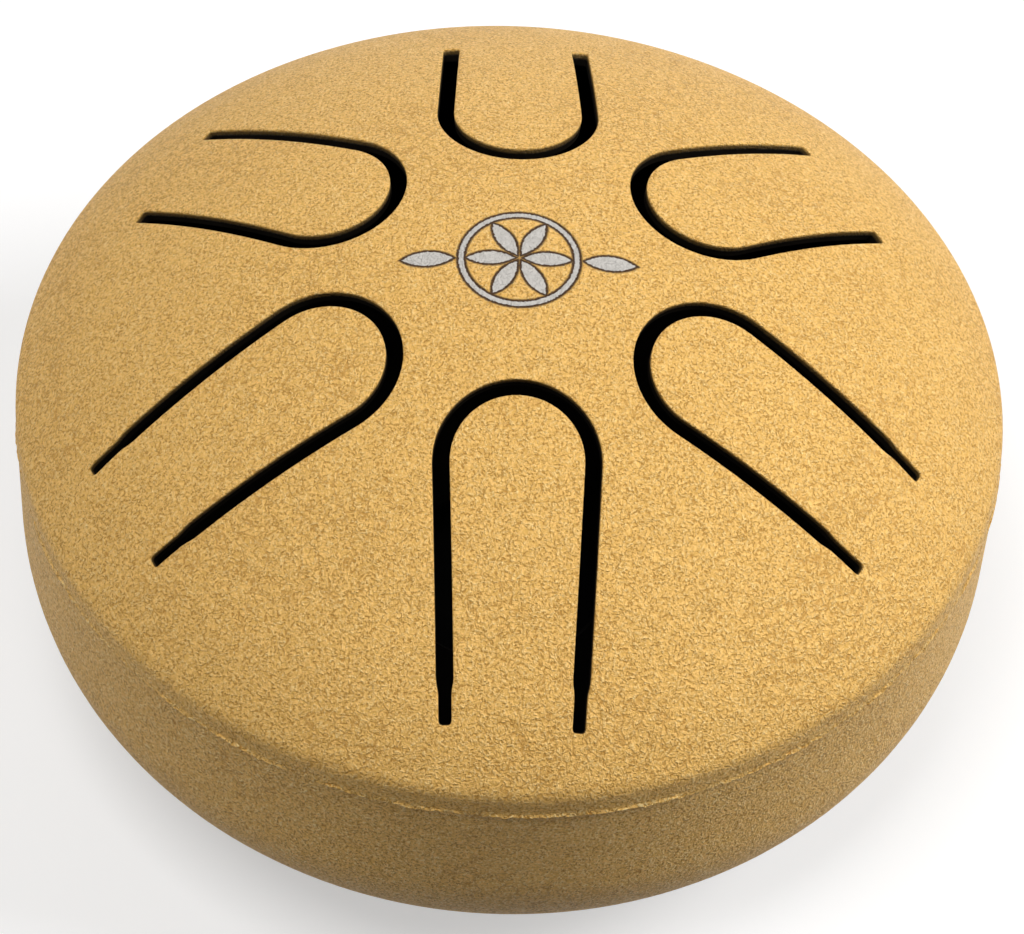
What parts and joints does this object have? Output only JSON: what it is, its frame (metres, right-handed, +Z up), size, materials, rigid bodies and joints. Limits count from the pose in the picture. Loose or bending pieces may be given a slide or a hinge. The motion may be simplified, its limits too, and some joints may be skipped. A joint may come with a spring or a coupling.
{
  "type": "tongue drum",
  "caption": "Small domed steel tongue drum: a lid with slot-cut tongues that spring when struck, welded to a bowl with a sound hole, in a textured gold coat, on soft feet.",
  "frame": {"origin": "on the ground under the middle of the drum", "axes": "+Z up through the middle of the playing face; -Y towards the player, through the longest tongue"},
  "size_m": [0.0804, 0.0804, 0.0457],
  "materials": {
    "gold_coat": "gold powder coat with a fine leather-like wrinkle",
    "coated_weld": "gold powder coat, worn brighter along the bead",
    "foot_rubber": "matt moulded rubber",
    "foot_adhesive": "foam tape"
  },
  "bodies": {
    "drum_body": {"upper_shell": "gold_coat", "lower_shell": "gold_coat", "seam_weld": "coated_weld", "foot_1": "foot_rubber", "foot_2": "foot_rubber", "foot_3": "foot_rubber", "foot_adhesive_1": "foot_adhesive", "foot_adhesive_2": "foot_adhesive", "foot_adhesive_3": "foot_adhesive"},
    "tongue_1": {"tongue_1": "gold_coat"},
    "tongue_2": {"tongue_2": "gold_coat"},
    "tongue_3": {"tongue_3": "gold_coat"},
    "tongue_4": {"tongue_4": "gold_coat"},
    "tongue_5": {"tongue_5": "gold_coat"},
    "tongue_6": {"tongue_6": "gold_coat"}
  },
  "joints": [
    {"name": "tongue_1_flex", "type": "hinge", "parent": "drum_body", "child": "tongue_1", "pos_m": [0, -0.03595, 0.03281], "axis": [-1, 0, 0], "range_deg": [-0.93, 0.93], "stiffness_Nm_per_rad": 33.3},
    {"name": "tongue_2_flex", "type": "hinge", "parent": "drum_body", "child": "tongue_2", "pos_m": [-0.02998, -0.01731, 0.03389], "axis": [-0.5, 0.866, 0], "range_deg": [-0.87, 0.87], "stiffness_Nm_per_rad": 35.8},
    {"name": "tongue_3_flex", "type": "hinge", "parent": "drum_body", "child": "tongue_3", "pos_m": [0.029, -0.01675, 0.0347], "axis": [-0.5, -0.866, 0], "range_deg": [-0.83, 0.83], "stiffness_Nm_per_rad": 38.2},
    {"name": "tongue_4_flex", "type": "hinge", "parent": "drum_body", "child": "tongue_4", "pos_m": [-0.02743, 0.01584, 0.03589], "axis": [0.5, 0.866, 0], "range_deg": [-0.76, 0.76], "stiffness_Nm_per_rad": 42.6},
    {"name": "tongue_5_flex", "type": "hinge", "parent": "drum_body", "child": "tongue_5", "pos_m": [0.02659, 0.01535, 0.03649], "axis": [0.5, -0.866, 0], "range_deg": [-0.72, 0.72], "stiffness_Nm_per_rad": 45.3},
    {"name": "tongue_6_flex", "type": "hinge", "parent": "drum_body", "child": "tongue_6", "pos_m": [0, 0.02913, 0.03741], "axis": [1, 0, 0], "range_deg": [-0.66, 0.66], "stiffness_Nm_per_rad": 50.3}
  ]
}
